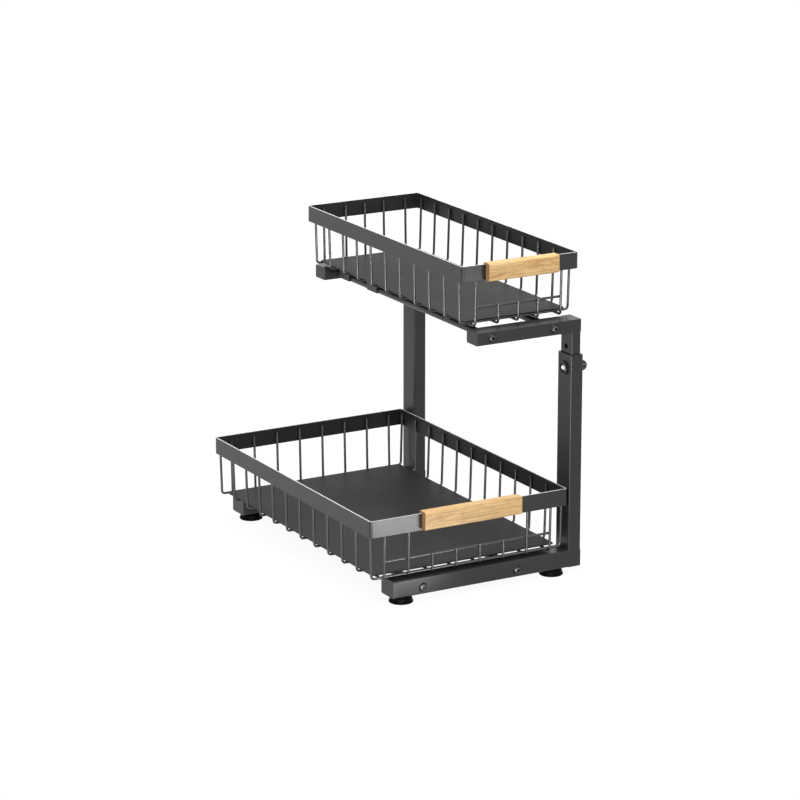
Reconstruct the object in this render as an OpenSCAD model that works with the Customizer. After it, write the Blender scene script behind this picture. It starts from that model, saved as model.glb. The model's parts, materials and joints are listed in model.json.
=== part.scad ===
// Two-tier pull-out cabinet basket: two wire baskets that slide on guide rods
// between a front and a rear L-shaped stand. The upper tier telescopes in the posts.
// +X right, -Y the way the baskets pull out, +Z up. The floor is at z = 0.

/* [Stand] */
// Depth from the front stand's front face to the rear stand's rear face
stand_depth = 400; // [340:1:460]
// Depth of the base bar and post tube, front to back
tube_depth = 29; // [26:0.5:34]
// Height of the base bar tube
bar_h = 20.7; // [18:0.1:30]
// Width of the post tube, left to right
post_w = 17; // [15:0.5:24]
// Wall thickness of the base bar and post tube
tube_wall = 1.5; // [1:0.1:2]
// Rounding radius along the tubes' outer edges
tube_edge_r = 1.6; // [0.8:0.1:2]
// Distance from the left side of the lower basket to the left end of the base bar
bar_inset = 30.5; // [10:0.5:60]
// How much further left the rear base bar reaches than the front one
rear_bar_more = 6.5; // [0:0.5:10]
// Height of the post's open top above the underside of the base bar
post_h = 260.5; // [225:0.5:330]
// Thickness of the outer plate of the base bar's end cap
bar_cap_plate = 4.8; // [1.5:0.1:5]
// Length of an end cap's plug inside its tube
cap_plug = 8; // [5:0.5:8.5]
// Clearance between an end cap's plug and the tube wall, each side
cap_clear = 0.1; // [0.05:0.05:0.3]

/* [Feet] */
// Height of a foot, floor to base bar
foot_h = 9.5; // [8:0.1:14]
// Radius of the foot's brim
foot_r = 14.5; // [13:0.5:20]
// Radius of the foot's top under the bar
foot_top_r = 9.5; // [6:0.5:10.5]
// Height of the foot's brim above the floor
foot_brim_t = 1.6; // [1.2:0.1:3]
// Width of the brim's flat top around the dome
foot_ledge = 0.8; // [0.4:0.1:2]
// Width of the flat ring that the foot stands on
foot_ring = 1.9; // [1:0.1:2.5]
// Bevel around the foot's lower edge
foot_bevel = 0.6; // [0.2:0.1:1]
// Height of the hollow under the foot
foot_hollow = 2.2; // [1:0.1:3]
// Thickness of rubber between the hollow and the stud
foot_web = 2; // [1:0.1:3]
// Distance from the base bar's left end to the left foot's centre
foot_left_in = 18; // [17:0.5:40]
// Distance from the post's right face to the right foot's centre
foot_right_in = 32; // [20:0.5:60]
// Radius of the threaded stud that holds a foot
stud_r = 3; // [2.5:0.1:4]
// How far the stud reaches into the base bar, above its lower wall
stud_up = 4; // [2:0.5:8]
// How far the stud's collar stands out around it
collar_out = 1.6; // [1:0.1:2.5]
// Thickness of the stud's collar
collar_t = 1.4; // [1:0.1:2]

/* [Upper tier] */
// Which height setting is in use, counted up from the lowest
height_setting = 1; // [0:1:3]
// Gap between the post's top and the arm at the lowest setting
lowest_gap = 1; // [0.5:0.5:8]
// Distance between neighbouring height holes
hole_pitch = 26; // [20:0.5:28]
// Number of height holes in the inner post
hole_count = 7; // [4:1:7]
// Distance from the post's top down to the locking bolt
bolt_drop = 17.5; // [14:0.5:24]
// Distance from the left side of the upper basket to the left end of the arm
arm_inset = 11.75; // [6:0.25:16]
// Height of the arm tube
arm_h = 15.8; // [13:0.1:20]
// Wall thickness of the arm and inner post
arm_wall = 1.2; // [1:0.1:1.5]
// Clearance between the inner post and the outer post's bore, each side
telescope_clear = 0.75; // [0.4:0.05:0.9]
// Length of the inner post below the arm
inner_leg = 222; // [206:1:230]
// Thickness of the outer plate of the arm's end cap
arm_cap_plate = 1.5; // [1:0.1:3]

/* [Lower basket] */
// Width over the lower rim band
lower_w = 267; // [240:1:300]
// Distance from the stand's front face to the lower rim band's front
lower_front_in = 0; // [0:0.5:6]
// Distance from the lower rim band's rear to the stand's rear face
lower_rear_in = 0; // [0:0.5:6]
// Height from the base bar's top to the top of the lower rim band
lower_rise = 77.9; // [60:0.1:120]
// Height of the lower rim band
lower_band_h = 20.7; // [15:0.1:26]
// Gap between the lower basket's rim band and the post
post_gap = 2; // [1:0.1:6]
// Number of the lower basket's front-to-back wires
lower_long_count = 8; // [6:2:8]
// Distance from the rim band's side to the first front-to-back wire
lower_long_in = 21.15; // [14:0.05:26]
// Number of full-height front wires on each side of the lower hand gap
lower_full_wires = 2; // [1:1:2]
// Number of the lower basket's side-to-side wires
lower_cross_count = 12; // [10:1:12]
// Distance from the rim band's front to the first side-to-side wire
lower_cross_in = 7.5; // [6:0.5:9]
// Length of the lower handle
lower_handle_len = 131; // [80:1:136]
// Height of the lower handle
lower_handle_h = 22.2; // [18:0.1:30]
// How far the lower handle reaches above the rim band
lower_handle_above = 3.1; // [2:0.1:6]

/* [Upper basket] */
// Width over the upper rim band
upper_w = 158; // [150:1:200]
// Distance from the stand's front face to the upper rim band's front
upper_front_in = 18; // [5:0.5:20]
// Distance from the upper rim band's rear to the stand's rear face
upper_rear_in = 3.5; // [0:0.5:10]
// How far the upper rim band stands out beyond the post's right face
upper_overhang = 3; // [0:0.5:12]
// Height from the arm's top to the top of the upper rim band
upper_rise = 76.5; // [60:0.1:120]
// Height of the upper rim band
upper_band_h = 19.7; // [15:0.1:26]
// Distance from the rim band's side to the outer front-to-back wires
upper_long_in = 20.9; // [16:0.1:24]
// Distance of the inner front-to-back wires from the middle one
upper_long_pitch = 27; // [25:0.1:30]
// Number of full-height front wires on each side of the upper hand gap
upper_full_wires = 1; // [1:1:2]
// Number of the upper basket's side-to-side wires
upper_cross_count = 11; // [9:1:11]
// Distance from the rim band's front to the first side-to-side wire
upper_cross_in = 14.25; // [13:0.25:16]
// Length of the upper handle
upper_handle_len = 95; // [70:1:104]
// Height of the upper handle
upper_handle_h = 21.5; // [16:0.1:26]
// How far the upper handle reaches above the rim band
upper_handle_above = 2; // [2:0.1:6]

/* [Basket wires and sheets] */
// Diameter of the basket wires
wire_d = 3; // [2.5:0.1:3.6]
// Thickness of the rim band
band_t = 2; // [1.5:0.1:3]
// Outer corner radius of the rim band
band_r = 3.5; // [3:0.5:14]
// Radius of the wires' bend from wall to floor, at the centreline
bend_r = 4; // [3.5:0.5:7]
// How much thinner a wire is in its bend than along its straights
bend_thin = 0.02; // [0.01:0.01:0.1]
// Lean of the basket walls, degrees from upright
wall_lean = 1.6; // [0:0.1:3]
// Distance from the rim band's top edge down to the wires' ends
wire_drop = 4.7; // [2:0.1:8]
// Gap of the weld between a wall wire and the rim band
weld_gap = 0.05; // [0.02:0.01:0.2]
// Depth that crossing wires are fused into each other
weld_bite = 0.2; // [0.1:0.05:0.4]
// Running gap between the lowest wires and the bar that they pass over
ride_gap = 1.2; // [0.8:0.1:3]
// Height of the low wire across the hand gap, above the lowest wires' centreline
low_wire_rise = 21.2; // [16:0.1:30]
// Thickness of the floor panel
panel_t = 1.2; // [0.8:0.1:2]
// Corner radius of the floor panel
panel_r = 4; // [3:0.5:10]
// Gap from the front and rear walls' bends to the floor panel's edges
panel_gap_y = 3.6; // [0.5:0.1:8]
// Gap from the side walls' bends to the floor panel's edges
panel_gap_x = 0.6; // [0.3:0.1:5]

/* [Handles] */
// How far a handle stands out in front of the rim band
handle_proud = 8.7; // [7:0.1:14]
// Thickness of the handle's lip behind the rim band
handle_lip = 3; // [2.5:0.1:4]
// Rounding radius along the handle's edges
handle_edge_r = 2.4; // [0.8:0.1:2.5]
// Clearance between the handle's slot and the rim band, each side
slot_clear = 0.1; // [0.05:0.05:0.3]
// Distance from the handle's end to its screw
handle_screw_in = 18; // [12:0.5:25]
// How far a handle screw reaches into the wood in front of the rim band
handle_screw_bite = 5.2; // [4:0.1:6]
// Shank radius of the handle screws
wood_screw_r = 1.6; // [1.3:0.1:2]
// Head radius of the handle screws
wood_head_r = 3.2; // [2.8:0.1:4]
// Head height of the handle screws
wood_head_h = 1.6; // [1:0.1:2.5]

/* [Slides] */
// Diameter of the guide rods
rod_d = 9; // [8:0.1:9.4]
// Height of the lower guide rods' centre above the underside of the base bar
lower_rod_z = 8.6; // [7.5:0.1:12]
// Height of the upper guide rods' centre above the underside of the arm
upper_rod_z = 8.2; // [7:0.1:8.5]
// Radial running clearance between a guide rod and a slider's bore
slide_clear = 0.08; // [0.04:0.01:0.1]
// Width of a slider block
slider_w = 13; // [12:0.5:17]
// Length of a slider block along its rod
slider_len = 24; // [18:0.5:26]
// How far a slider's two jaws reach down past the middle of its rod
slider_hook = 3; // [1.5:0.1:3.5]
// Gap between an upper slider and the front-to-back wire beside it
slider_gap = 2.35; // [0.4:0.05:3]
// How far the slider's jaws reach above the centre of the wire that they hold
slider_jaw = 1.2; // [0.6:0.1:1.3]
// Radial clearance between a basket wire and the slider's snap groove
snap_clear = 0.05; // [0.02:0.01:0.1]
// Least gap between a pushed-in basket's rear sliders and the rear bar
stop_gap = 1.2; // [0.5:0.1:3]
// Number of side-to-side wires from a front slider back to a rear one
slider_step = 2; // [1:1:3]

/* [Fasteners] */
// Shank radius of the rail screws and locking bolts
screw_r = 3; // [2.5:0.1:3.2]
// Head radius of the rail screws
head_r = 5.5; // [4.5:0.05:6]
// Head height of the rail screws
head_h = 3.3; // [2.5:0.1:4]
// Head radius of the locking bolts
bolt_head_r = 5.6; // [4.5:0.05:6]
// Head height of the locking bolts
bolt_head_h = 2.2; // [2:0.1:4]
// Width across flats of the hex socket in the heads
socket_af = 4; // [3:0.1:4.5]
// Depth of the hex socket in the heads
socket_depth = 1.5; // [1:0.1:1.6]
// Radial clearance of the screw holes in the tubes
hole_clear = 0.3; // [0.2:0.05:0.5]
// Radial clearance between a screw or stud and what it is threaded into
thread_clear = 0.08; // [0.04:0.01:0.1]
// Depth that a bore runs on past the end of its screw
bore_spare = 0.5; // [0.2:0.1:1]
// Depth that a rail screw reaches into its guide rod
screw_bite = 11; // [8:0.5:16]
// Outer radius of the locking bolt's cup washer
washer_r = 8.5; // [7.5:0.1:9]
// Height of the cup washer
washer_t = 2.5; // [1.5:0.1:3]
// Thickness of the cup washer under the bolt's head
washer_floor = 0.6; // [0.4:0.1:1]
// Clearance between the locking bolt's head and the cup washer's wall
cup_clear = 0.3; // [0.1:0.05:0.6]
// Radius of the dome nut
nut_r = 6.4; // [5:0.1:7]
// Length of the dome nut
nut_len = 13.5; // [12:0.5:16]
// How far the locking bolt reaches into its nut
bolt_reach = 6.8; // [4:0.1:8]

/* [Hidden] */
$fn = 48;
over = 1;                                       // how far a cut runs past a face
fuse = 0.01;                                    // how far joined shapes reach into each other
wire_r = wire_d / 2;
rod_r = rod_d / 2;

// The stand's place: the whole object's box is centred on the origin
post_left = lower_w + post_gap;                 // from the lower basket's left side
total_w = post_left + post_w + max(nut_len, upper_overhang);
front_reach = max(handle_proud - lower_front_in, head_h); // past the stand's front face
x_left = -total_w / 2;                          // lower basket's left side
y_front = front_reach - (stand_depth + front_reach + head_h) / 2; // stand's front face
y_rear = y_front + stand_depth;                 // stand's rear face
y_mid = (y_front + y_rear) / 2;
post_x = x_left + post_left;                    // post's left face
post_right = post_x + post_w;
bar_x = x_left + bar_inset;                     // front base bar's left end, over its cap
rear_bar_x = bar_x - rear_bar_more;             // and the rear one's
bar_top = foot_h + bar_h;
post_top = foot_h + post_h;
tube_y = y_front + tube_depth / 2;              // middle of the front tubes
tubes_y = [tube_y, 2 * y_mid - tube_y];
front_feet_x = [bar_x + foot_left_in, post_right - foot_right_in];
rear_feet_x = [rear_bar_x + foot_left_in, post_right - foot_right_in];

// The telescoping upper frame, set in from the post by its wall and clearance
inset = tube_wall + telescope_clear;
arm_depth = tube_depth - 2 * inset;
arm_y = y_front + inset;                        // arm's front face
inner_w = post_w - 2 * inset;
arm_right = post_right - inset;
upper_right = post_right + upper_overhang;      // upper basket's right side
arm_x = upper_right - upper_w + arm_inset;      // arm's left end, over its cap
arm_z = post_top + lowest_gap + height_setting * hole_pitch;
arm_top = arm_z + arm_h;
bolt_z = post_top - bolt_drop;
holes_below = hole_count - 1 - height_setting;  // height holes below the one in use

// Baskets: middle x, front y, width, depth, top of the bars below, rim top, band height,
// front-to-back wires' distances from the middle, full-height front wires on each side,
// first side-to-side wire's distance from the front, and the number of those wires
lower_long_pitch = (lower_w - 2 * lower_long_in) / (lower_long_count - 1);
lower_long_x = [for (i = [0 : lower_long_count - 1])
    (i - (lower_long_count - 1) / 2) * lower_long_pitch];
upper_long_out = upper_w / 2 - upper_long_in;
upper_long_x = [-upper_long_out, -upper_long_pitch, 0, upper_long_pitch, upper_long_out];
lower = [x_left + lower_w / 2, y_front + lower_front_in, lower_w,
         stand_depth - lower_front_in - lower_rear_in, bar_top, bar_top + lower_rise,
         lower_band_h, lower_long_x, lower_full_wires, lower_cross_in, lower_cross_count];
upper = [upper_right - upper_w / 2, y_front + upper_front_in, upper_w,
         stand_depth - upper_front_in - upper_rear_in, arm_top, arm_top + upper_rise,
         upper_band_h, upper_long_x, upper_full_wires, upper_cross_in, upper_cross_count];
function mid_x(b) = b[0];
function front_y(b) = b[1];
function width(b) = b[2];
function depth(b) = b[3];
function bars_z(b) = b[4];
function rim_z(b) = b[5];
function band_h(b) = b[6];
function long_x(b) = b[7];
function full_wires(b) = b[8];
function cross_in(b) = b[9];
function cross_count(b) = b[10];
function band_mid_z(b) = rim_z(b) - band_h(b) / 2;

// Wires' places: side-to-side wires lie on the front-to-back ones and the panel on both
wire_in = band_t + weld_gap + wire_r;           // from the band's outer face to a wall wire
function long_z(b) = bars_z(b) + ride_gap + wire_r;
function cross_z(b) = long_z(b) + wire_d - weld_bite;
function panel_z(b) = cross_z(b) + wire_r;
function cross_pitch(b) = (depth(b) - 2 * cross_in(b)) / (cross_count(b) - 1);
function cross_y(b, i) = front_y(b) + cross_in(b) + i * cross_pitch(b);
function long_rise(b) = rim_z(b) - wire_drop - long_z(b);   // height of front and rear walls
function cross_rise(b) = rim_z(b) - wire_drop - cross_z(b); // height of side walls

// Guide rods: the lower ones midway between the second and third wires from each side,
// the upper ones with their sliders to the right of the first and of the fourth wire
slider_off = wire_r + slider_gap + slider_w / 2;
lower_rod_off = lower_long_x[lower_long_count - 2] - lower_long_pitch / 2;
lower_rod_x = [mid_x(lower) - lower_rod_off, mid_x(lower) + lower_rod_off];
upper_rod_x = [mid_x(upper) + upper_long_x[0] + slider_off,
               mid_x(upper) + upper_long_x[3] + slider_off];
lower_rods_z = foot_h + lower_rod_z;
upper_rods_z = arm_z + upper_rod_z;

// Index of the side-to-side wire that the rear sliders hold: the last one at which they
// clear the rear bar's inner face
function slider_index(b, bar_face) = floor(
    (bar_face - stop_gap - slider_len / 2 - front_y(b) - cross_in(b)) / cross_pitch(b));
lower_slider_wire = slider_index(lower, y_rear - tube_depth);
upper_slider_wire = slider_index(upper, y_rear - inset - arm_depth);

// ---- Shared shapes ----

// A straight bar along Z with rounded edges, cornered at the origin
module rounded_bar(a, b, length, r) {
    linear_extrude(length) {
        translate([r, 0]) square([a - 2 * r, b]);
        translate([0, r]) square([a, b - 2 * r]);
        for (x = [r, a - r], y = [r, b - r]) translate([x, y]) circle(r);
    }
}

// The same bar laid along X
module bar_along_x(length, depth, height, r) {
    translate([length, 0, 0]) rotate([0, -90, 0]) rounded_bar(height, depth, length, r);
}

// A cylinder along X or Y, starting at the origin
module along_x(r, h) { rotate([0, 90, 0]) cylinder(r = r, h = h); }
module along_y(r, h) { rotate([-90, 0, 0]) cylinder(r = r, h = h); }

// Children again at the rear stand, mirrored about the middle
module at_rear() {
    translate([0, 2 * y_mid, 0]) mirror([0, 1, 0]) children();
}

// A button head with its hex socket, on a shank. The head's seat is at z = 0, shank down
module button_screw(r, h, length) {
    dome_r = (r * r + h * h) / (2 * h);
    difference() {
        union() {
            intersection() {
                translate([0, 0, h - dome_r]) sphere(dome_r);
                cylinder(r = r, h = h);
            }
            translate([0, 0, -length]) cylinder(r = screw_r, h = length + fuse);
        }
        translate([0, 0, h - socket_depth])
            cylinder(r = socket_af / sqrt(3), h = socket_depth + over, $fn = 6);
    }
}

// ---- Stand ----

// L of base bar and post, hollow, open at the post's top and the bar's left end, where its
// cap starts at bar_end
module base_stand(bar_end, feet_x) {
    w = tube_wall;
    tube_x = bar_end + bar_cap_plate;
    color("#46484b") difference() {
        union() {
            translate([tube_x, y_front, foot_h])
                bar_along_x(post_right - tube_x, tube_depth, bar_h, tube_edge_r);
            translate([post_x, y_front, foot_h])
                rounded_bar(post_w, tube_depth, post_h, tube_edge_r);
        }
        translate([tube_x - over, y_front + w, foot_h + w])
            cube([post_right - tube_x + over - w, tube_depth - 2 * w, bar_h - 2 * w]);
        translate([post_x + w, y_front + w, foot_h + w])
            cube([post_w - 2 * w, tube_depth - 2 * w, post_h]);
        for (x = lower_rod_x) translate([x, y_front - over, lower_rods_z])
            along_y(screw_r + hole_clear, tube_depth + 2 * over);
        translate([post_x - over, tube_y, bolt_z])
            along_x(screw_r + hole_clear, post_w + 2 * over);
        for (x = feet_x) translate([x, tube_y, foot_h - over])
            cylinder(r = stud_r + hole_clear, h = w + 2 * over);
    }
}

// Plastic plate and plug that close a tube's left end
module end_cap(plate, depth, height, wall) {
    in = wall + cap_clear;
    color("#2b2c2e") {
        bar_along_x(plate, depth, height, tube_edge_r);
        translate([plate - fuse, in, in]) cube([cap_plug + fuse, depth - 2 * in, height - 2 * in]);
    }
}
module bar_cap(bar_end) {
    translate([bar_end, y_front, foot_h]) end_cap(bar_cap_plate, tube_depth, bar_h, tube_wall);
}
module arm_cap() {
    translate([arm_x, arm_y, arm_z]) end_cap(arm_cap_plate, arm_depth, arm_h, arm_wall);
}

// Rubber foot: a dome on a flat brim, with a shallow hollow underneath
module foot(x, y) {
    dome_w = foot_r - foot_ledge - foot_top_r;
    dome = [for (a = [90 : -15 : 0])
        [foot_top_r + dome_w * sin(a), foot_brim_t + (foot_h - foot_brim_t) * cos(a)]];
    color("#161616") translate([x, y, 0]) difference() {
        rotate_extrude() polygon(concat([
            [0, foot_hollow], [foot_r - foot_bevel - foot_ring, 0], [foot_r - foot_bevel, 0],
            [foot_r, foot_bevel], [foot_r, foot_brim_t]], dome, [[0, foot_h]]));
        stud_space(thread_clear);
    }
}

// The stud and its collar, grown by a clearance
stud_low = foot_hollow + foot_web;
module stud_space(grow) {
    translate([0, 0, stud_low - grow])
        cylinder(r = stud_r + grow, h = foot_h + tube_wall + stud_up - stud_low + grow);
    translate([0, 0, stud_low - grow])
        cylinder(r = stud_r + collar_out + grow, h = collar_t + 2 * grow);
}
module foot_studs() {
    color("#8d9094") {
        for (x = front_feet_x) translate([x, tubes_y[0], 0]) stud_space(0);
        for (x = rear_feet_x) translate([x, tubes_y[1], 0]) stud_space(0);
    }
}

// ---- Locking bolts ----

module locking_bolt(y) {
    color("#9a9c9e") translate([post_x - washer_floor, y, bolt_z]) rotate([0, -90, 0])
        button_screw(bolt_head_r, bolt_head_h, washer_floor + post_w + bolt_reach);
}

// Cup washers that the bolts' heads sit in
module locking_washers() {
    color("#1b1b1c") for (y = tubes_y)
        translate([post_x, y, bolt_z]) rotate([0, -90, 0]) difference() {
            cylinder(r = washer_r, h = washer_t);
            translate([0, 0, washer_floor]) cylinder(r = bolt_head_r + cup_clear, h = washer_t);
            translate([0, 0, -over]) cylinder(r = screw_r + hole_clear, h = washer_t + 2 * over);
        }
}
module dome_nut(y) {
    color("#202122") translate([post_right, y, bolt_z]) rotate([0, 90, 0]) difference() {
        union() {
            cylinder(r = nut_r, h = nut_len - nut_r);
            intersection() {
                translate([0, 0, nut_len - nut_r]) sphere(nut_r);
                cylinder(r = nut_r, h = nut_len);
            }
        }
        translate([0, 0, -over])
            cylinder(r = screw_r + thread_clear, h = bolt_reach + bore_spare + over);
    }
}

// ---- Upper frame ----

// Inverted L: arm and inner post with its row of height holes
module arm() {
    w = arm_wall;
    tube_x = arm_x + arm_cap_plate;
    color("#494b4e") difference() {
        union() {
            translate([tube_x, arm_y, arm_z])
                bar_along_x(arm_right - tube_x, arm_depth, arm_h, tube_edge_r);
            translate([arm_right - inner_w, arm_y, arm_z - inner_leg])
                rounded_bar(inner_w, arm_depth, inner_leg + arm_h, tube_edge_r);
        }
        translate([tube_x - over, arm_y + w, arm_z + w])
            cube([arm_right - tube_x + over - w, arm_depth - 2 * w, arm_h - 2 * w]);
        translate([arm_right - inner_w + w, arm_y + w, arm_z - inner_leg - over])
            cube([inner_w - 2 * w, arm_depth - 2 * w, inner_leg + over + arm_h - w]);
        for (x = upper_rod_x) translate([x, arm_y - over, upper_rods_z])
            along_y(screw_r + hole_clear, arm_depth + 2 * over);
        for (i = [-holes_below : height_setting])
            translate([arm_right - inner_w - over, tube_y, bolt_z + i * hole_pitch])
                along_x(screw_r + hole_clear, inner_w + 2 * over);
    }
}

// ---- Guide rods and their screws ----

// Round rod between two bars, drilled at both ends
module guide_rod(x, z, y0, y1) {
    bore_r = screw_r + thread_clear;
    bore = screw_bite + bore_spare;
    color("#5b5d60") translate([x, 0, z]) difference() {
        translate([0, y0, 0]) along_y(rod_r, y1 - y0);
        translate([0, y0 - over, 0]) along_y(bore_r, bore + over);
        translate([0, y1 - bore, 0]) along_y(bore_r, bore + over);
    }
}
module lower_rod(side) {
    guide_rod(lower_rod_x[side], lower_rods_z, y_front + tube_depth, y_rear - tube_depth);
}
module upper_rod(side) {
    reach = inset + arm_depth;
    guide_rod(upper_rod_x[side], upper_rods_z, y_front + reach, y_rear - reach);
}

// The two screws through a bar into its rods
module rail_screws(xs, y, z, depth) {
    color("#2e2f31") for (x = xs) translate([x, y, z]) rotate([90, 0, 0])
        button_screw(head_r, head_h, depth + screw_bite);
}
module base_screws() { rail_screws(lower_rod_x, y_front, lower_rods_z, tube_depth); }
module arm_screws() { rail_screws(upper_rod_x, arm_y, upper_rods_z, arm_depth); }

// ---- Baskets ----

// Places of a handle's screws, from the basket's middle
function handle_screws_x(length) = [handle_screw_in - length / 2, length / 2 - handle_screw_in];

// Flat-strip rim with rounded corners and the holes for the handle screws
module rim_band(b, handle_len) {
    module outline(in, h) {
        translate([mid_x(b) - width(b) / 2 + in, front_y(b) + in, 0])
            rounded_bar(width(b) - 2 * in, depth(b) - 2 * in, h, band_r - in);
    }
    color("#4a4c4f") difference() {
        translate([0, 0, rim_z(b) - band_h(b)]) outline(0, band_h(b));
        translate([0, 0, rim_z(b) - band_h(b) - over]) outline(band_t, band_h(b) + 2 * over);
        for (x = handle_screws_x(handle_len))
            translate([mid_x(b) + x, front_y(b) - over, band_mid_z(b)])
                along_y(wood_screw_r + hole_clear, band_t + 2 * over);
    }
}

// How far in from a wall wire's top its floor stretch starts, for a wall of this height
function bend_in(rise) = bend_r * cos(wall_lean)
    + (rise - bend_r + bend_r * sin(wall_lean)) * tan(wall_lean);

// One wall wire of a wall of height rise, cut off at height top: a leaning upright and its
// bend. The wall's top is at x = 0, the floor wire at z = 0, and inward is +X
module wall_wire(rise, top) {
    bend_x = bend_in(rise);
    upright_x = bend_x - bend_r * cos(wall_lean);
    upright_z = bend_r - bend_r * sin(wall_lean);
    translate([upright_x, 0, upright_z]) rotate([0, -wall_lean, 0])
        cylinder(r = wire_r, h = (top - upright_z) / cos(wall_lean));
    translate([bend_x, 0, bend_r]) rotate([90, 0, 0]) rotate([0, 0, 180 + wall_lean])
        rotate_extrude(angle = 90 - wall_lean) translate([bend_r, 0]) circle(wire_r - bend_thin);
}

// Wires of one side wall: side -1 left, +1 right
module side_wires(b, side) {
    color("#3c3e41") for (i = [0 : cross_count(b) - 1])
        translate([mid_x(b) + side * (width(b) / 2 - wire_in), cross_y(b, i), cross_z(b)])
            rotate([0, 0, side < 0 ? 0 : 180]) wall_wire(cross_rise(b), cross_rise(b));
}

// One side-to-side wire of the floor
module cross_wire(b, i) {
    in = wire_in + bend_in(cross_rise(b));
    translate([mid_x(b) - width(b) / 2 + in, cross_y(b, i), cross_z(b)])
        along_x(wire_r, width(b) - 2 * in);
}

// Whether a side-to-side wire lies on the long wires' bends, and so belongs to a wall
function on_bend(b, i) = let (y = cross_y(b, i) - front_y(b))
    min(y, depth(b) - y) < wire_in + bend_in(long_rise(b));

// Wires of the rear wall, with the side-to-side wire that joins their bends, if there is one
module rear_wires(b) {
    last = cross_count(b) - 1;
    color("#3c3e41") {
        for (x = long_x(b)) translate([mid_x(b) + x, front_y(b) + depth(b) - wire_in, long_z(b)])
            rotate([0, 0, -90]) wall_wire(long_rise(b), long_rise(b));
        if (on_bend(b, last)) cross_wire(b, last);
    }
}

// Wires of the front wall, likewise. Those in the middle stop at the low wire under the gap
module front_wires(b) {
    short_top = low_wire_rise + wire_r;
    last = len(long_x(b)) - 1;
    out = long_x(b)[last];
    low_wire_y = front_y(b) + wire_in + (long_rise(b) - low_wire_rise) * tan(wall_lean)
        + wire_d - weld_bite;
    color("#3c3e41") {
        for (i = [0 : last]) translate([mid_x(b) + long_x(b)[i], front_y(b) + wire_in, long_z(b)])
            rotate([0, 0, 90])
                wall_wire(long_rise(b), min(i, last - i) < full_wires(b) ? long_rise(b) : short_top);
        translate([mid_x(b) - out, low_wire_y, long_z(b) + low_wire_rise]) along_x(wire_r, 2 * out);
        if (on_bend(b, 0)) cross_wire(b, 0);
    }
}

// Floor grid: long wires below, the other side-to-side wires fused on top of them
module floor_wires(b) {
    in = wire_in + bend_in(long_rise(b));
    color("#3c3e41") {
        for (i = [0 : cross_count(b) - 1]) if (!on_bend(b, i)) cross_wire(b, i);
        for (x = long_x(b)) translate([mid_x(b) + x, front_y(b) + in, long_z(b)])
            along_y(wire_r, depth(b) - 2 * in);
    }
}

// Sheet metal floor lying on the wires, inside the walls' bends
module floor_panel(b) {
    in_x = wire_in + bend_in(cross_rise(b)) + panel_gap_x;
    in_y = wire_in + bend_in(long_rise(b)) + panel_gap_y;
    color("#3f4042")
        translate([mid_x(b) - width(b) / 2 + in_x, front_y(b) + in_y, panel_z(b)])
            rounded_bar(width(b) - 2 * in_x, depth(b) - 2 * in_y, panel_t, panel_r);
}

// Wooden handle: a block hooked over the front band, bored for its two screws
module handle(b, length, height, above) {
    thick = handle_proud + band_t + handle_lip;
    slot_y = front_y(b) - slot_clear;
    low = rim_z(b) + above - height;
    color("#d9b282") difference() {
        translate([mid_x(b) - length / 2, front_y(b) - handle_proud, low])
            bar_along_x(length, thick, height, handle_edge_r);
        translate([mid_x(b) - length / 2 - over, slot_y, low - over])
            cube([length + 2 * over, band_t + 2 * slot_clear, rim_z(b) + slot_clear - low + over]);
        for (x = handle_screws_x(length))
            translate([mid_x(b) + x, front_y(b) - handle_screw_bite - bore_spare, band_mid_z(b)])
                along_y(wood_screw_r + thread_clear, thick);
    }
}

// Screws from inside the basket through the lip and the band
module handle_screws(b, length) {
    shank = handle_lip + band_t + handle_screw_bite;
    color("#8d9094") for (x = handle_screws_x(length))
        translate([mid_x(b) + x, front_y(b) + band_t + handle_lip, band_mid_z(b)]) {
            translate([0, -shank, 0]) along_y(wood_screw_r, shank + fuse);
            along_y(wood_head_r, wood_head_h);
        }
}

// Plastic slider: two jaws snap over the rod, and a groove on top over a basket wire
module slider(b, rod_x, rod_z, wire) {
    y = cross_y(b, wire);
    low = rod_z - slider_hook;
    color("#1d1e1f") difference() {
        translate([rod_x - slider_w / 2, y - slider_len / 2, low])
            cube([slider_w, slider_len, cross_z(b) + slider_jaw - low]);
        translate([rod_x, y - slider_len / 2 - over, rod_z])
            along_y(rod_r + slide_clear, slider_len + 2 * over);
        translate([rod_x - slider_w / 2 - over, y, cross_z(b)])
            along_x(wire_r + snap_clear, slider_w + 2 * over);
    }
}
module lower_slider(side, steps) {
    slider(lower, lower_rod_x[side], lower_rods_z, lower_slider_wire - steps);
}
module upper_slider(side, steps) {
    slider(upper, upper_rod_x[side], upper_rods_z, upper_slider_wire - steps);
}

base_stand(bar_x, front_feet_x);  // front_base_stand
at_rear() base_stand(rear_bar_x, rear_feet_x);  // rear_base_stand
bar_cap(bar_x);  // front_bar_cap
at_rear() bar_cap(rear_bar_x);  // rear_bar_cap
foot(front_feet_x[0], tubes_y[0]);  // foot_front_left
foot(front_feet_x[1], tubes_y[0]);  // foot_front_right
foot(rear_feet_x[0], tubes_y[1]);  // foot_rear_left
foot(rear_feet_x[1], tubes_y[1]);  // foot_rear_right
foot_studs();
lower_rod(0);  // lower_rod_left
lower_rod(1);  // lower_rod_right
base_screws();  // front_base_screws
at_rear() base_screws();  // rear_base_screws
locking_bolt(tubes_y[0]);  // front_locking_bolt
locking_bolt(tubes_y[1]);  // rear_locking_bolt
locking_washers();
dome_nut(tubes_y[0]);  // front_dome_nut
dome_nut(tubes_y[1]);  // rear_dome_nut
arm();  // front_arm
at_rear() arm();  // rear_arm
arm_cap();  // front_arm_cap
at_rear() arm_cap();  // rear_arm_cap
upper_rod(0);  // upper_rod_left
upper_rod(1);  // upper_rod_right
arm_screws();  // front_arm_screws
at_rear() arm_screws();  // rear_arm_screws
rim_band(lower, lower_handle_len);  // lower_rim_band
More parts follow.
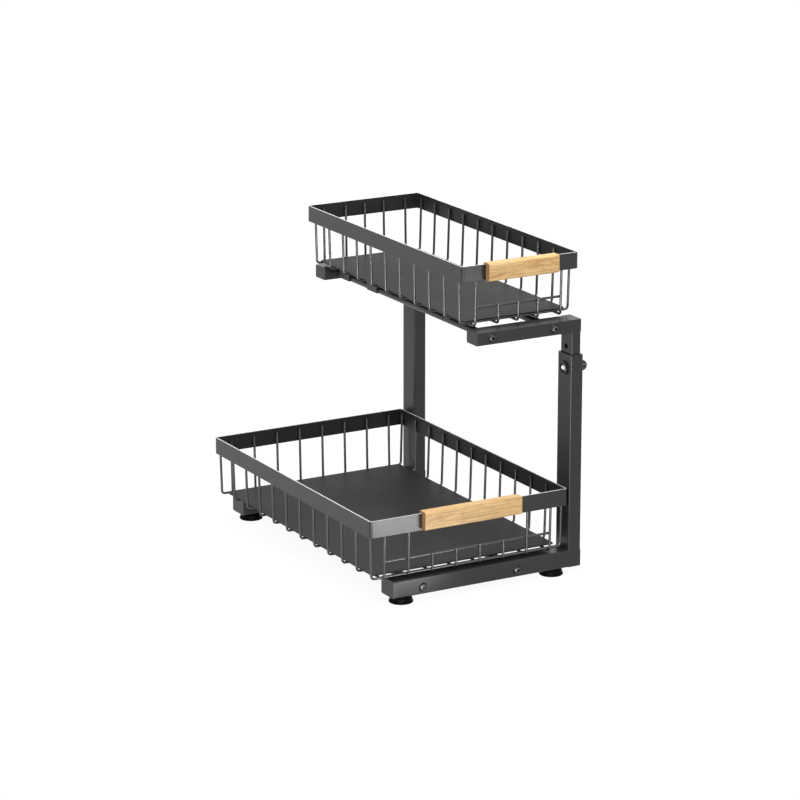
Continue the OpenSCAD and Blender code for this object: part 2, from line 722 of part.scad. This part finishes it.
side_wires(lower, -1);  // lower_left_wires
side_wires(lower, 1);  // lower_right_wires
front_wires(lower);  // lower_front_wires
rear_wires(lower);  // lower_rear_wires
floor_wires(lower);  // lower_floor_wires
floor_panel(lower);  // lower_floor_panel
handle(lower, lower_handle_len, lower_handle_h, lower_handle_above);  // lower_handle
handle_screws(lower, lower_handle_len);  // lower_handle_screws
lower_slider(0, slider_step);  // lower_slider_front_left
lower_slider(1, slider_step);  // lower_slider_front_right
lower_slider(0, 0);  // lower_slider_rear_left
lower_slider(1, 0);  // lower_slider_rear_right
rim_band(upper, upper_handle_len);  // upper_rim_band
side_wires(upper, -1);  // upper_left_wires
side_wires(upper, 1);  // upper_right_wires
front_wires(upper);  // upper_front_wires
rear_wires(upper);  // upper_rear_wires
floor_wires(upper);  // upper_floor_wires
floor_panel(upper);  // upper_floor_panel
handle(upper, upper_handle_len, upper_handle_h, upper_handle_above);  // upper_handle
handle_screws(upper, upper_handle_len);  // upper_handle_screws
upper_slider(0, slider_step);  // upper_slider_front_left
upper_slider(1, slider_step);  // upper_slider_front_right
upper_slider(0, 0);  // upper_slider_rear_left
upper_slider(1, 0);  // upper_slider_rear_right
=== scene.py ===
"""Looks of the two-tier pull-out cabinet basket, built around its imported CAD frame.

Lengths are in metres, in the row frame: +X right, -Y the way the baskets pull out, +Z up.
"""
import json
import math

import bmesh
import bpy
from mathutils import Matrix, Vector


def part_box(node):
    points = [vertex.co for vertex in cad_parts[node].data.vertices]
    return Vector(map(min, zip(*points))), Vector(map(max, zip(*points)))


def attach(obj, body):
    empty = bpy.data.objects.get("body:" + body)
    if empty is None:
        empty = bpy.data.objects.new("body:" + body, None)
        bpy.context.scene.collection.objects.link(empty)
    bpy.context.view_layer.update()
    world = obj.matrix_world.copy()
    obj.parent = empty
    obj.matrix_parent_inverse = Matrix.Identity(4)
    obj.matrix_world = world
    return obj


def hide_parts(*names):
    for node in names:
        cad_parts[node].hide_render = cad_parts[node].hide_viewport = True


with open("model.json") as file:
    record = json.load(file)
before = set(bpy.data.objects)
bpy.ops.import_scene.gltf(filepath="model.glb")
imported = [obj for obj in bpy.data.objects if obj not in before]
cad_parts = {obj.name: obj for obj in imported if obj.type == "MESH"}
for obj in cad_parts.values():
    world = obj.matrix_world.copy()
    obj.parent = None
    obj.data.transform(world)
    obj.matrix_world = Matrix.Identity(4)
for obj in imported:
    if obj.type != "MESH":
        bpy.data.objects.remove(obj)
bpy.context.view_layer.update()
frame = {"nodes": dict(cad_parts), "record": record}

MM = 0.001

# ---------------------------------------------------------------- camera

CAMERA_AZIMUTH = -29.422        # degrees from looking along +Y
CAMERA_ELEVATION = 15.677       # degrees above the horizon
CAMERA_DISTANCE = 4117.2 * MM
CAMERA_TARGET = Vector((0.64, 0.0, 184.74)) * MM
CAMERA_LENS = 153.18            # millimetres
SENSOR_WIDTH = 36.0             # millimetres
CLIP_RANGE = (0.05, 60.0)


def toward(azimuth, elevation):
    """Unit vector from the object to where something at that azimuth and elevation stands."""
    a, e = math.radians(azimuth), math.radians(elevation)
    return Vector((math.sin(a) * math.cos(e), -math.cos(a) * math.cos(e), math.sin(e)))


def aim(thing, azimuth, elevation, distance, target):
    """Puts a camera or lamp round the target and turns it to look there."""
    back = toward(azimuth, elevation)
    thing.location = target + back * distance
    thing.rotation_euler = (-back).to_track_quat("-Z", "Y").to_euler()


def add(name, data):
    """Makes an object of that data and puts it in the scene."""
    thing = bpy.data.objects.new(name, data)
    bpy.context.scene.collection.objects.link(thing)
    return thing


def make_camera():
    data = bpy.data.cameras.new("camera")
    data.lens = CAMERA_LENS
    data.sensor_width = SENSOR_WIDTH
    data.clip_start, data.clip_end = CLIP_RANGE
    camera = add("camera", data)
    aim(camera, CAMERA_AZIMUTH, CAMERA_ELEVATION, CAMERA_DISTANCE, CAMERA_TARGET)
    bpy.context.scene.camera = camera


# ---------------------------------------------------------------- node helpers


def new_material(name):
    """A material with an empty Principled shader: returns the material, its tree and shader."""
    material = bpy.data.materials.new(name)
    material.use_nodes = True
    tree = material.node_tree
    tree.nodes.clear()
    output = tree.nodes.new("ShaderNodeOutputMaterial")
    shader = tree.nodes.new("ShaderNodeBsdfPrincipled")
    tree.links.new(shader.outputs[0], output.inputs["Surface"])
    return material, tree, shader


def places(tree, scale=(1.0, 1.0, 1.0)):
    """Object coordinates, in metres, scaled."""
    coords = tree.nodes.new("ShaderNodeTexCoord")
    mapping = tree.nodes.new("ShaderNodeMapping")
    mapping.inputs["Scale"].default_value = scale
    tree.links.new(coords.outputs["Object"], mapping.inputs["Vector"])
    return mapping.outputs["Vector"]


def noise(tree, where, scale, detail=2.0, roughness=0.5, distortion=0.0):
    """A noise value from 0 to 1 with scale features to the metre."""
    node = tree.nodes.new("ShaderNodeTexNoise")
    node.inputs["Scale"].default_value = scale
    node.inputs["Detail"].default_value = detail
    node.inputs["Roughness"].default_value = roughness
    node.inputs["Distortion"].default_value = distortion
    tree.links.new(where, node.inputs["Vector"])
    return node.outputs["Fac"]


def spread(tree, value, low, high, out_low=0.0, out_high=1.0):
    """value between low and high becomes out_low to out_high, clamped."""
    node = tree.nodes.new("ShaderNodeMapRange")
    ends = {"From Min": low, "From Max": high, "To Min": out_low, "To Max": out_high}
    for socket, number in ends.items():
        node.inputs[socket].default_value = number
    tree.links.new(value, node.inputs["Value"])
    return node.outputs["Result"]


def math_node(tree, operation, a, b=0.0):
    """a and b are sockets or numbers. An operation on one value leaves b out."""
    node = tree.nodes.new("ShaderNodeMath")
    node.operation = operation
    for socket, value in zip(node.inputs, (a, b)):
        if isinstance(value, (int, float)):
            socket.default_value = value
        else:
            tree.links.new(value, socket)
    return node.outputs[0]


def mix_colours(tree, factor, a, b):
    """a and b are sockets or colours."""
    node = tree.nodes.new("ShaderNodeMix")
    node.data_type = "RGBA"
    tree.links.new(factor, node.inputs[0])
    for socket, value in zip((node.inputs[6], node.inputs[7]), (a, b)):
        if isinstance(value, tuple):
            socket.default_value = (*value, 1.0)
        else:
            tree.links.new(value, socket)
    return node.outputs[2]


def bump(tree, height, depth, normal=None):
    """A bump of that depth in metres, on top of another one if given."""
    node = tree.nodes.new("ShaderNodeBump")
    node.inputs["Strength"].default_value = 1.0
    node.inputs["Distance"].default_value = depth
    tree.links.new(height, node.inputs["Height"])
    if normal is not None:
        tree.links.new(normal, node.inputs["Normal"])
    return node.outputs["Normal"]


def grey(value, warmth=0.0):
    """A linear grey, warmer or cooler by a share of itself."""
    return (value * (1 + warmth), value, value * (1 - warmth))


# ---------------------------------------------------------------- materials

NOISE_MIDDLE = (0.3, 0.7)       # nearly all of a noise's values lie between these
COAT_WARMTH = 0.02              # how much warmer than neutral the coat is, as a share


def facing(tree, axis):
    """How far the surface faces along a world axis, from -1 to 1. No body here ever turns."""
    geometry = tree.nodes.new("ShaderNodeNewGeometry")
    split = tree.nodes.new("ShaderNodeSeparateXYZ")
    tree.links.new(geometry.outputs["Normal"], split.inputs[0])
    return split.outputs[axis]


def powder_coat(name, value, roughness, specular, peel=0.012 * MM, top_highlight_grey=None):
    """Satin powder coat: orange peel, fine speckle, and slow changes of sheen and tone.

    top_highlight_grey is the light grey painted on the upward-facing faces of a strip's top, as a painted
    highlight."""
    material, tree, shader = new_material(name)
    where = places(tree)
    speckle = noise(tree, where, 2600.0, roughness=0.6)
    cloud = noise(tree, where, 14.0, detail=3.0)
    skin = noise(tree, where, 750.0)
    tone = math_node(tree, "ADD", math_node(tree, "MULTIPLY", speckle, 0.6),
                     math_node(tree, "MULTIPLY", cloud, 0.4))
    colour = mix_colours(tree, spread(tree, tone, 0.35, 0.65),
                         grey(value * 0.82, COAT_WARMTH), grey(value * 1.18, COAT_WARMTH))
    if top_highlight_grey is not None:
        # painted highlight: upward-facing faces, speckled at random, turn to top_highlight_grey
        painted_top_highlight = math_node(tree, "MULTIPLY", spread(tree, facing(tree, "Z"), 0.45, 0.95),
                         spread(tree, speckle, 0.25, 0.6, 0.75, 1.0))
        colour = mix_colours(tree, painted_top_highlight, colour, grey(top_highlight_grey))
    tree.links.new(colour, shader.inputs["Base Color"])
    sheen = spread(tree, cloud, *NOISE_MIDDLE, roughness - 0.04, roughness + 0.05)
    tree.links.new(sheen, shader.inputs["Roughness"])
    shader.inputs["Specular IOR Level"].default_value = specular
    fine = bump(tree, speckle, 0.25 * peel)
    tree.links.new(bump(tree, skin, peel, fine), shader.inputs["Normal"])
    return material


# The colours of the wood, linear
PALE_WOOD = (0.770, 0.490, 0.205)
WARM_WOOD = (0.510, 0.265, 0.096)
LIGHT_STREAK = (0.860, 0.630, 0.330)
DARK_PORE = (0.450, 0.230, 0.090)
END_GRAIN = (0.330, 0.175, 0.075)


def wood(name):
    """Pale oak, its grain along X: wavy growth bands, fine streaks, dark pores, darker ends."""
    material, tree, shader = new_material(name)
    sway = noise(tree, places(tree, (9.0, 30.0, 30.0)), 1.0)
    flow = places(tree, (4.0, 95.0, 95.0))
    bent = tree.nodes.new("ShaderNodeVectorMath")
    bent.operation = "ADD"
    tree.links.new(flow, bent.inputs[0])
    tree.links.new(spread(tree, sway, 0.0, 1.0, -1.6, 1.6), bent.inputs[1])
    bands = noise(tree, bent.outputs[0], 2.2, detail=3.0, roughness=0.6, distortion=0.4)
    streaks = noise(tree, places(tree, (14.0, 1100.0, 1100.0)), 1.0, roughness=0.6)
    pores = noise(tree, places(tree, (100.0, 3400.0, 3400.0)), 1.0, detail=1.0)
    warm = mix_colours(tree, spread(tree, bands, 0.40, 0.62), PALE_WOOD, WARM_WOOD)
    streaked = mix_colours(tree, spread(tree, streaks, 0.40, 0.62, 0.0, 0.7), warm, LIGHT_STREAK)
    pore = spread(tree, pores, 0.55, 0.67, 0.0, 0.7)
    grained = mix_colours(tree, pore, streaked, DARK_PORE)
    end = math_node(tree, "ABSOLUTE", facing(tree, "X"))
    tree.links.new(mix_colours(tree, spread(tree, end, 0.75, 0.98), grained, END_GRAIN),
                   shader.inputs["Base Color"])
    tree.links.new(spread(tree, streaks, *NOISE_MIDDLE, 0.42, 0.56), shader.inputs["Roughness"])
    shader.inputs["Specular IOR Level"].default_value = 0.2
    raised = bump(tree, streaks, 0.03 * MM)
    sunk = math_node(tree, "SUBTRACT", 1.0, pore)
    tree.links.new(bump(tree, sunk, 0.04 * MM, raised), shader.inputs["Normal"])
    return material


def moulded(name, value, roughness, specular):
    """Moulded plastic or rubber: fine erosion texture with slightly shiny high spots."""
    material, tree, shader = new_material(name)
    where = places(tree)
    grain = noise(tree, where, 3200.0, roughness=0.6)
    cloud = noise(tree, where, 60.0)
    colour = mix_colours(tree, cloud, grey(value * 0.8), grey(value * 1.2))
    tree.links.new(colour, shader.inputs["Base Color"])
    sheen = spread(tree, grain, *NOISE_MIDDLE, roughness + 0.06, roughness - 0.06)
    tree.links.new(sheen, shader.inputs["Roughness"])
    shader.inputs["Specular IOR Level"].default_value = specular
    tree.links.new(bump(tree, grain, 0.01 * MM), shader.inputs["Normal"])
    return material


PAINTED_HIGHLIGHT_GREY = 0.10             # grey of the painted highlight ring on the rounded shoulders of blackened heads


def steel(name, value, roughness, axis=None):
    """Turned steel, its fine marks smeared into a brushed sheen.

    On blackened heads that face an axis, a painted highlight ring lightens the rounded shoulders."""
    material, tree, shader = new_material(name)
    where = places(tree)
    grain = noise(tree, where, 1900.0, detail=3.0, roughness=0.6)
    cloud = noise(tree, where, 220.0)
    colour = mix_colours(tree, cloud, grey(value * 0.85), grey(value * 1.1))
    if axis is not None:
        # painted highlight: a lighter ring where the surface turns about 15 to 40 degrees off the axis
        ahead = math_node(tree, "ABSOLUTE", facing(tree, axis))
        painted_highlight_ring = math_node(tree, "MULTIPLY", spread(tree, ahead, 0.985, 0.96),
                             spread(tree, ahead, 0.78, 0.86))
        colour = mix_colours(tree, painted_highlight_ring, colour, grey(PAINTED_HIGHLIGHT_GREY))
    tree.links.new(colour, shader.inputs["Base Color"])
    sheen = spread(tree, grain, *NOISE_MIDDLE, roughness - 0.06, roughness + 0.08)
    tree.links.new(sheen, shader.inputs["Roughness"])
    shader.inputs["Metallic"].default_value = 1.0
    tree.links.new(bump(tree, grain, 0.006 * MM), shader.inputs["Normal"])
    return material


MATERIALS = {
    "frame_coat": powder_coat("frame_powder_coat", 0.021, 0.34, 0.34),
    "basket_coat": powder_coat("basket_powder_coat", 0.016, 0.30, 0.90),
    "floor_coat": powder_coat("floor_powder_coat", 0.032, 0.50, 0.06),
    "oak": wood("pale_oak"),
    "foot_rubber": moulded("foot_rubber", 0.004, 0.45, 0.03),
    "black_plastic": moulded("black_plastic", 0.012, 0.38, 0.45),
    "black_steel": steel("blackened_steel", 0.025, 0.44, "Y"),
    "bright_steel": steel("zinc_plated_steel", 0.62, 0.26),
}
# the rim coat has a painted highlight on the upward-facing faces of the strip's top
RIM_COAT = powder_coat("rim_powder_coat", 0.020, 0.32, 0.40, top_highlight_grey=0.70)
# painted shade: a darker, less shiny copy of the rim coat for the band's inner faces, where the inside of
# the basket is in shade
PAINTED_SHADE_INSIDE_COAT = powder_coat("rim_inside_painted_shade_coat", 0.018, 0.45, 0.18)


def dress(obj, slot):
    """Gives every material slot of an object the material of that record slot."""
    if not obj.material_slots:
        obj.data.materials.append(MATERIALS[slot])
    for held in obj.material_slots:
        held.material = MATERIALS[slot]


def slot_of(node):
    """The material slot that the record gives a CAD node."""
    parts = frame["record"]["subparts"]
    return next(p["material_slot"] for p in parts if p["node"] == node)


# ---------------------------------------------------------------- pieces


LARGE_FACES_LEAD = 100          # the highest weight: small faces hardly set the shading


def true_flats(piece):
    """Keeps flat faces flat in shading beside their rounded edges."""
    piece.modifiers.new("true_flats", "WEIGHTED_NORMAL").weight = LARGE_FACES_LEAD


def mesh_piece(name, bm, body, slot, node):
    """Makes a piece of a bmesh, rides it on its body and lets it stand for a CAD node."""
    bmesh.ops.recalc_face_normals(bm, faces=bm.faces)
    mesh = bpy.data.meshes.new(name)
    bm.to_mesh(mesh)
    bm.free()
    piece = add(name, mesh)
    for polygon in mesh.polygons:
        polygon.use_smooth = True
    dress(piece, slot)
    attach(piece, body)
    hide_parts(node)
    return piece


def rounded_outline(half_a, half_b, radius, steps):
    """Points of a rounded rectangle round the origin, anticlockwise, with their outward normals."""
    points = []
    corners = ((half_a, half_b, 0), (-half_a, half_b, 90), (-half_a, -half_b, 180), (half_a, -half_b, 270))
    for x, y, start in corners:
        cx, cy = x - math.copysign(radius, x), y - math.copysign(radius, y)
        for i in range(steps + 1):
            a = math.radians(start + 90 * i / steps)
            normal = (math.cos(a), math.sin(a))
            points.append(((cx + radius * normal[0], cy + radius * normal[1]), normal))
    return points


BAND_THICKNESS = 2.0 * MM       # of the strip that the rim is bent from
BAND_EDGE_R = 0.45 * MM         # rounding of the strip's edges
BAND_EDGE_STEPS = 3
BAND_CORNER_R = 3.5 * MM        # outer radius of the rim's bends
BAND_CORNER_STEPS = 12
FACES_IN = -0.9                 # a section normal below this is on the strip's inner face


def rim_band(tier):
    """The flat strip bent round the basket's rim, its section rounded at all four edges."""
    node = f"{tier}_rim_band"
    low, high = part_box(node)
    centre = (low + high) / 2
    half = (high - low) / 2
    section = rounded_outline(BAND_THICKNESS / 2, half.z, BAND_EDGE_R, BAND_EDGE_STEPS)
    path = rounded_outline(half.x, half.y, BAND_CORNER_R, BAND_CORNER_STEPS)
    bm = bmesh.new()
    rings = []
    for (x, y), (nx, ny) in path:
        ring = []
        for (across, up), _ in section:
            inward = BAND_THICKNESS / 2 - across
            ring.append(bm.verts.new((centre.x + x - nx * inward, centre.y + y - ny * inward,
                                      centre.z + up)))
        rings.append(ring)
    for ring, following in zip(rings, rings[1:] + rings[:1]):
        for i in range(len(ring)):
            j = (i + 1) % len(ring)
            face = bm.faces.new((ring[i], ring[j], following[j], following[i]))
            # inner faces take the painted-shade copy of the coat
            face.material_index = int(max(section[i][1][0], section[j][1][0]) < FACES_IN)
    rim = mesh_piece(f"{tier}_rim", bm, f"{tier}_drawer", "basket_coat", node)
    rim.data.materials.append(PAINTED_SHADE_INSIDE_COAT)
    rim.material_slots[0].material = RIM_COAT
    true_flats(rim)


HANDLE_SLOT_SPARE = 0.1 * MM    # between the handle's slot and the band
HANDLE_EDGE_R = 2.4 * MM        # rounding along the grip
HANDLE_END_R = 0.9 * MM         # rounding round its ends
HANDLE_END_STEPS = 3
HANDLE_END_ANGLE = 50           # degrees: sharper edges than this are eased
ARC_STEPS = 5                   # along each of its rounded edges


def arc(x, y, radius, start):
    """Points of a quarter circle round (x, y) from an angle of start degrees on."""
    angles = (math.radians(start + 90 * i / ARC_STEPS) for i in range(ARC_STEPS + 1))
    return [(x + radius * math.cos(a), y + radius * math.sin(a)) for a in angles]


def grip(tier):
    """The wooden grip hooked over the front band, rounded along it and eased at its ends."""
    node = f"{tier}_handle"
    low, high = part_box(node)
    band_low, band_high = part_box(f"{tier}_rim_band")
    slot_front = band_low.y - HANDLE_SLOT_SPARE
    slot_back = band_low.y + BAND_THICKNESS + HANDLE_SLOT_SPARE
    slot_top = band_high.z + HANDLE_SLOT_SPARE
    r = HANDLE_EDGE_R
    section = (arc(low.y + r, low.z + r, r, 180) + [(slot_front, low.z), (slot_front, slot_top),
               (slot_back, slot_top), (slot_back, low.z)] + arc(high.y - r, low.z + r, r, 270)
               + arc(high.y - r, high.z - r, r, 0) + arc(low.y + r, high.z - r, r, 90))
    bm = bmesh.new()
    ends = [[bm.verts.new((x, y, z)) for y, z in section] for x in (low.x, high.x)]
    for i in range(len(section)):
        j = (i + 1) % len(section)
        bm.faces.new((ends[0][i], ends[0][j], ends[1][j], ends[1][i]))
    for ring in ends:
        bm.faces.new(ring)
    piece = mesh_piece(f"{tier}_grip", bm, f"{tier}_drawer", "oak", node)
    bevel = piece.modifiers.new("eased_edges", "BEVEL")
    bevel.width = HANDLE_END_R
    bevel.segments = HANDLE_END_STEPS
    bevel.limit_method = "ANGLE"
    bevel.angle_limit = math.radians(HANDLE_END_ANGLE)
    true_flats(piece)


# ---------------------------------------------------------------- stage and light

STUDIO_CENTRE = Vector((0.0, 0.0, 0.18))    # where the softboxes look
FLOOR_HALF = 14.0               # from the middle of the floor to its sides
FLOOR_WHITE = 0.82              # what the floor gives back of the light on it
FLOOR_GLOW = 0.90               # how far the camera and reflections see it as plain white
GLOW_STRENGTH = 1.05            # just past plain white, so that none of it turns grey
GLOW_FULL = (0.45, 0.90)        # from where, and by where, out from the middle, it is all white


def sees_backdrop(tree):
    """1 for camera, glossy and transmission rays, which see the backdrop as white."""
    path = tree.nodes.new("ShaderNodeLightPath")
    mirrored = math_node(tree, "MAXIMUM", path.outputs["Is Glossy Ray"], path.outputs["Is Transmission Ray"])
    return math_node(tree, "MAXIMUM", path.outputs["Is Camera Ray"], mirrored)


def make_floor():
    """A matt floor in light, nearly plain white to the camera and reflections, with its shadow."""
    mesh = bpy.data.meshes.new("floor")
    corners = [(-FLOOR_HALF, -FLOOR_HALF, 0), (FLOOR_HALF, -FLOOR_HALF, 0),
               (FLOOR_HALF, FLOOR_HALF, 0), (-FLOOR_HALF, FLOOR_HALF, 0)]
    mesh.from_pydata(corners, [], [(0, 1, 2, 3)])
    floor = add("floor", mesh)
    material = bpy.data.materials.new("floor_white")
    material.use_nodes = True
    tree = material.node_tree
    tree.nodes.clear()
    output = tree.nodes.new("ShaderNodeOutputMaterial")
    matte = tree.nodes.new("ShaderNodeBsdfDiffuse")
    matte.inputs["Color"].default_value = (FLOOR_WHITE, FLOOR_WHITE, FLOOR_WHITE, 1.0)
    glow = tree.nodes.new("ShaderNodeEmission")
    glow.inputs["Strength"].default_value = GLOW_STRENGTH
    mixed = tree.nodes.new("ShaderNodeMixShader")
    away = tree.nodes.new("ShaderNodeVectorMath")
    away.operation = "LENGTH"
    tree.links.new(places(tree), away.inputs[0])
    white = spread(tree, away.outputs["Value"], *GLOW_FULL, FLOOR_GLOW, 1.0)
    tree.links.new(math_node(tree, "MULTIPLY", sees_backdrop(tree), white), mixed.inputs[0])
    tree.links.new(matte.outputs[0], mixed.inputs[1])
    tree.links.new(glow.outputs[0], mixed.inputs[2])
    tree.links.new(mixed.outputs[0], output.inputs["Surface"])
    mesh.materials.append(material)


WORLD_LIGHT = 0.42              # soft light from all round on matt surfaces


def make_world():
    """White to the camera and reflections, and a weaker soft light on all else."""
    world = bpy.data.worlds.new("studio")
    bpy.context.scene.world = world
    world.use_nodes = True
    tree = world.node_tree
    tree.nodes.clear()
    output = tree.nodes.new("ShaderNodeOutputWorld")
    background = tree.nodes.new("ShaderNodeBackground")
    strength = spread(tree, sees_backdrop(tree), 0.0, 1.0, WORLD_LIGHT, 1.0)
    tree.links.new(strength, background.inputs["Strength"])
    background.inputs["Color"].default_value = (1.0, 1.0, 1.0, 1.0)
    tree.links.new(background.outputs[0], output.inputs["Surface"])


def softbox(name, azimuth, elevation, distance, width, height, watts, target=STUDIO_CENTRE):
    """An area lamp that the camera doesn't see: degrees, then metres, then its power."""
    data = bpy.data.lights.new(name, "AREA")
    data.shape = "RECTANGLE"
    data.size, data.size_y = width, height
    data.energy = watts
    lamp = add(name, data)
    aim(lamp, azimuth, elevation, distance, target)
    lamp.visible_camera = False
    return lamp


def sheen_lamp(*placing, on=()):
    """A low softbox that only shows in sheen, and only on the named pieces if any are named."""
    lamp = softbox(*placing)
    lamp.visible_diffuse = False
    if on:
        lit = bpy.data.collections.new(f"{lamp.name}_falls_on")
        for name in on:
            lit.objects.link(bpy.data.objects[name])
        lamp.light_linking.receiver_collection = lit


# Where the sheen lamps look
LOWER_BAND_LEFT = Vector((-0.115, -0.197, 0.0975))
UPPER_BAND_LEFT = Vector((0.000, -0.178, 0.380))
BASE_BAR_LEFT = Vector((-0.130, -0.197, 0.021))
LOWER_FRONT_WIRES = Vector((-0.05, -0.20, 0.055))


def make_lights():
    softbox("key_softbox", -62, 42, 1.9, 0.9, 1.4, 16.0)
    softbox("top_softbox", 10, 78, 1.8, 1.2, 0.8, 24.0)
    softbox("fill_softbox", 48, 25, 2.2, 1.0, 1.2, 5.0)
    softbox("rear_softbox", 151, 20, 2.4, 1.4, 0.5, 1.5)
    sheen_lamp("low_sheen", 29.5, -15.7, 0.22, 0.12, 0.055, 0.36, LOWER_BAND_LEFT,
               on=("lower_rim", "lower_grip", "lower_front_wires"))
    sheen_lamp("bar_sheen", 29.5, -4.0, 0.13, 0.10, 0.018, 0.18, BASE_BAR_LEFT,
               on=("front_base_stand", "front_bar_cap", "front_base_screws"))
    sheen_lamp("high_sheen", 29.5, -15.7, 0.22, 0.10, 0.05, 0.06, UPPER_BAND_LEFT,
               on=("upper_rim", "upper_grip"))
    sheen_lamp("wire_sheen", -30, -0.5, 0.60, 0.60, 0.09, 5.5, LOWER_FRONT_WIRES)


# ---------------------------------------------------------------- making it

make_camera()
make_world()
make_floor()
bpy.context.scene.view_settings.view_transform = "Standard"

for node_name, node_object in frame["nodes"].items():
    dress(node_object, slot_of(node_name))
for tier_name in ("lower", "upper"):
    rim_band(tier_name)
    grip(tier_name)
make_lights()
